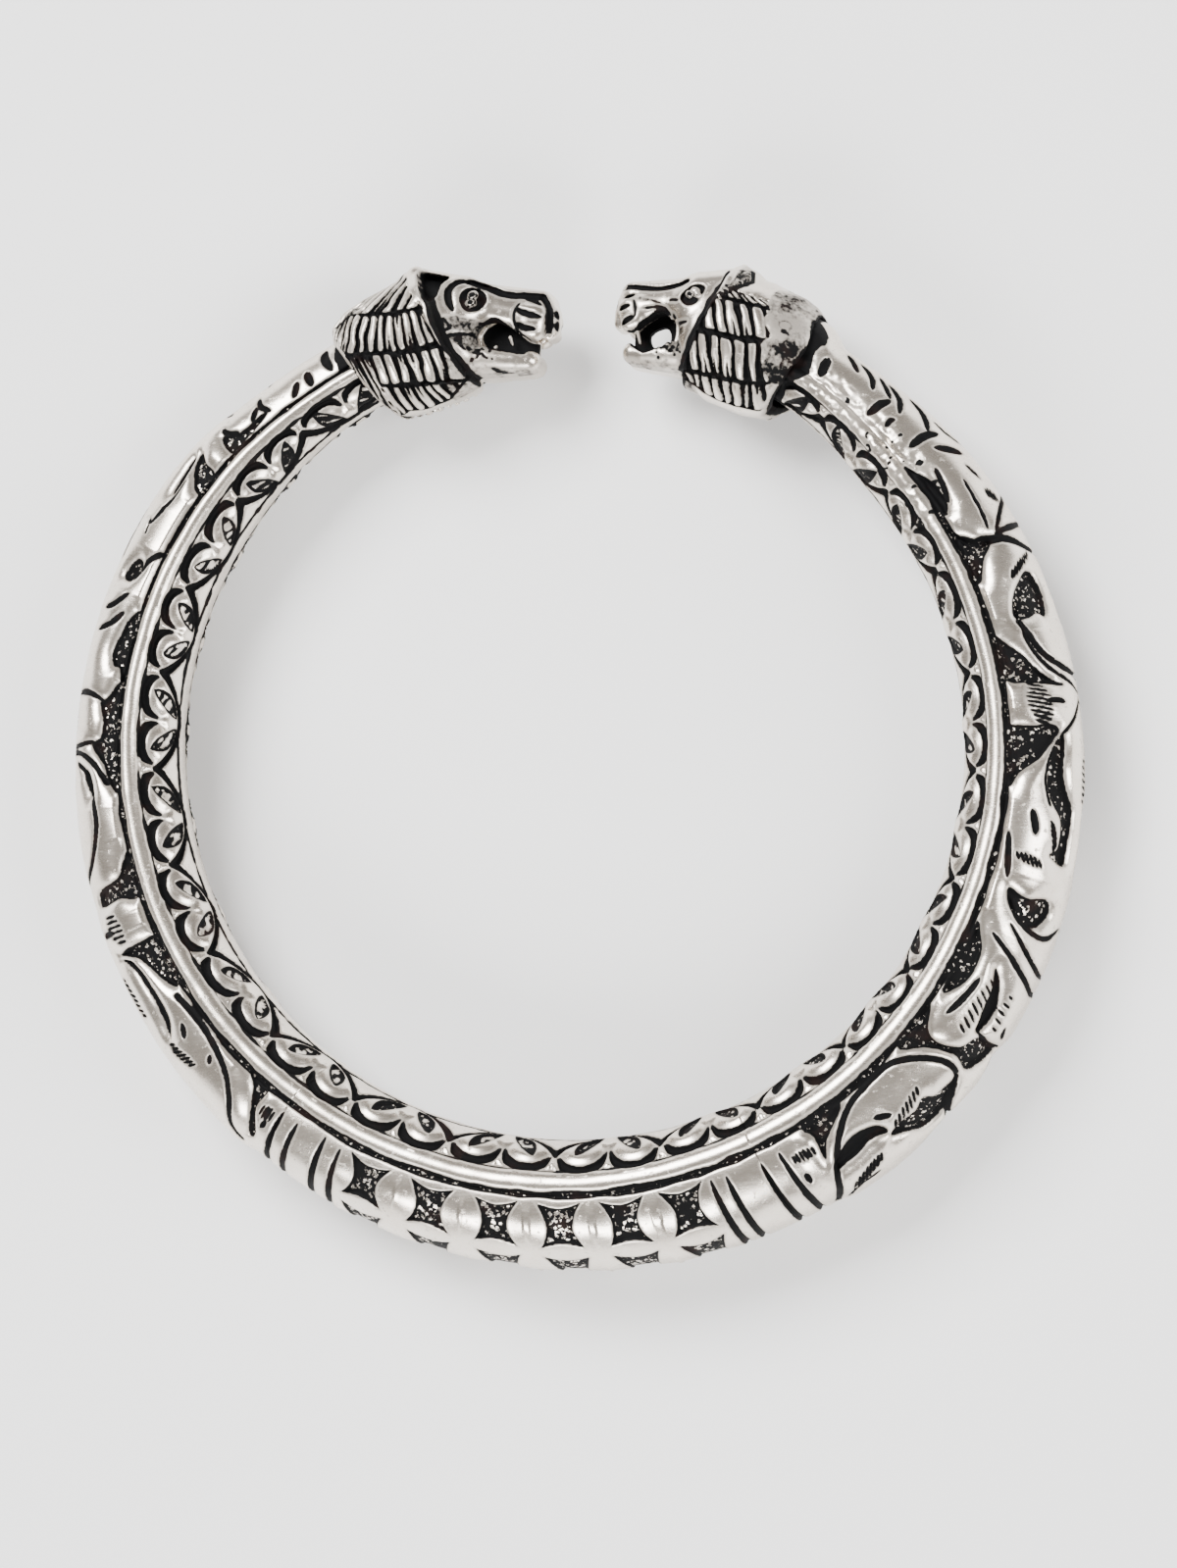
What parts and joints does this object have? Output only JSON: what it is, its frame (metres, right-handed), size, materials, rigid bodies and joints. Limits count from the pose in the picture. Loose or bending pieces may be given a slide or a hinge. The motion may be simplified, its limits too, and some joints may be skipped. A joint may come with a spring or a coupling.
{
  "type": "kada bangle",
  "caption": "Open rigid bangle of chased, oxidised silver tube with hearts at the wrist, stars and leaves outside, ending in facing maned lion heads with open jaws.",
  "frame": {"origin": "middle of the bangle's box, on the surface that it lies on; the ring's own centre is 0.3 mm from it", "axes": "+Z through the ring and up from the surface that it lies on, +Y towards the gap between the heads, +X towards the right head"},
  "size_m": [0.0798, 0.0792, 0.0115],
  "materials": {
    "silver_sheet": "chased sterling silver, polished on the high points, black sulphide left in the grooves and the stippled ground",
    "silver_cast": "cast sterling silver, buffed by hand, black sulphide left between the strands and in the mouth"
  },
  "bodies": {
    "root": {"band": "silver_sheet", "head_left": "silver_cast", "head_right": "silver_cast"}
  },
  "joints": []
}
